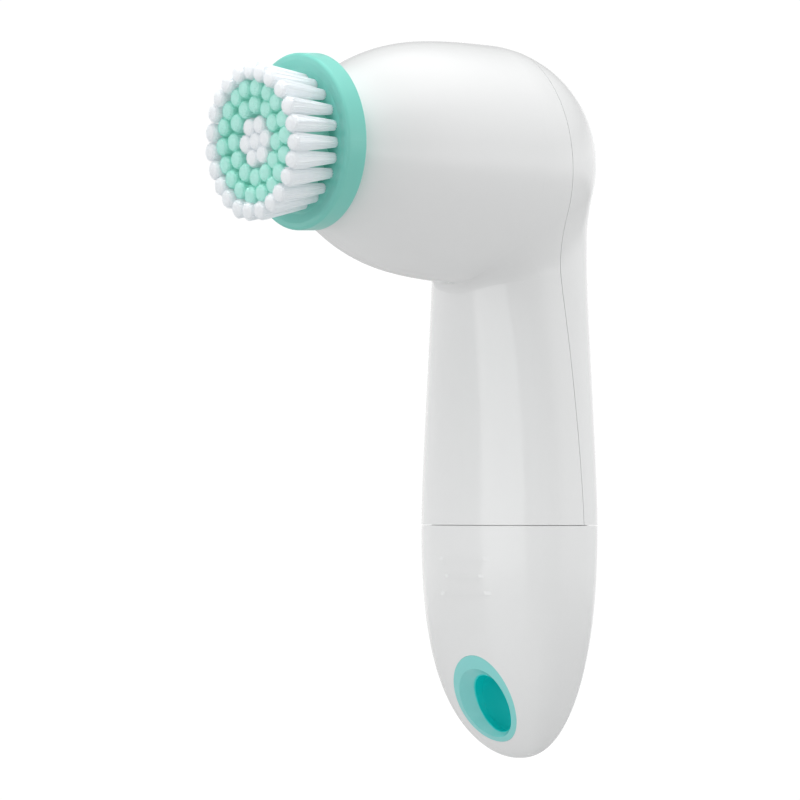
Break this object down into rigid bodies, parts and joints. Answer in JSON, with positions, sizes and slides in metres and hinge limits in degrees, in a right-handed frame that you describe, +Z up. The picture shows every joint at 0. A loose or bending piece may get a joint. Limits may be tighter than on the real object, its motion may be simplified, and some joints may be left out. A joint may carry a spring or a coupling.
{
  "type": "facial cleansing brush",
  "caption": "Battery-powered facial cleansing brush with a round rotating bristle head, waisted handle, pull-off battery cap and hanging hole.",
  "frame": {"origin": "centre of the hanging hole in the battery cap", "axes": "+Z up the handle towards the head, -Y the way the brush faces, X across the handle"},
  "size_m": [0.0516, 0.0863, 0.1539],
  "materials": {
    "white_shell": "gloss",
    "mint": "gloss",
    "teal": "gloss",
    "bristle_white": "matte",
    "bristle_mint": "matte",
    "steel": "satin",
    "brass": "satin",
    "natural_plastic": "matte",
    "dark_plastic": "matte",
    "seal_rubber": "matte",
    "board_green": "satin",
    "cell_wrap": "satin"
  },
  "bodies": {
    "housing": {"front_housing": "white_shell", "rear_cover": "white_shell", "battery_carrier": "dark_plastic", "battery_left": "cell_wrap", "battery_right": "cell_wrap", "top_contacts": "steel", "cap_seal": "seal_rubber", "rear_gear_plate": "natural_plastic", "front_gear_plate": "natural_plastic", "gear_pin": "steel", "frame_screws": "steel", "motor_can": "steel", "motor_end_cap": "dark_plastic", "spindle_bush": "brass", "switch_board": "board_green", "tact_switch": "dark_plastic"},
    "rotor": {"motor_shaft": "steel", "motor_pinion": "brass", "motor_rotor_core": "steel"},
    "idler": {"idler_gear": "natural_plastic"},
    "spindle": {"output_gear": "natural_plastic", "drive_spindle": "steel", "spindle_clip": "steel"},
    "brush_head": {"brush_base": "mint", "outer_tufts": "bristle_white", "mint_tufts_outer": "bristle_mint", "mint_tufts_inner": "bristle_mint", "centre_tufts": "bristle_white"},
    "cap": {"battery_cap": "white_shell", "hang_bezel": "mint", "hang_sleeve": "teal", "cap_bridge": "steel", "cap_spring": "steel"},
    "button": {"power_button": "mint"}
  },
  "joints": [
    {"name": "rotor_spin", "type": "hinge", "parent": "housing", "child": "rotor", "pos_m": [0, 0, 0.12035], "axis": [0, -1, 0], "continuous": true},
    {"name": "brush_spin", "type": "hinge", "parent": "housing", "child": "spindle", "pos_m": [0, 0, 0.12035], "axis": [0, -1, 0], "continuous": true},
    {"name": "brush_release", "type": "slide", "parent": "spindle", "child": "brush_head", "axis": [0, -1, 0], "range_m": [0, 0.012]},
    {"name": "idler_spin", "type": "hinge", "parent": "housing", "child": "idler", "pos_m": [0, 0, 0.11115], "axis": [0, -1, 0], "continuous": true},
    {"name": "power_press", "type": "slide", "parent": "housing", "child": "button", "axis": [0, -1, 0], "range_m": [0, 0.0008], "stiffness_N_per_m": 400},
    {"name": "cap_release", "type": "slide", "parent": "housing", "child": "cap", "axis": [0, 0, -1], "range_m": [0, 0.04]}
  ],
  "couplings": [
    {"joint": "idler_spin", "follows": "rotor_spin", "ratio": -0.27778},
    {"joint": "brush_spin", "follows": "rotor_spin", "ratio": 0.098039}
  ]
}
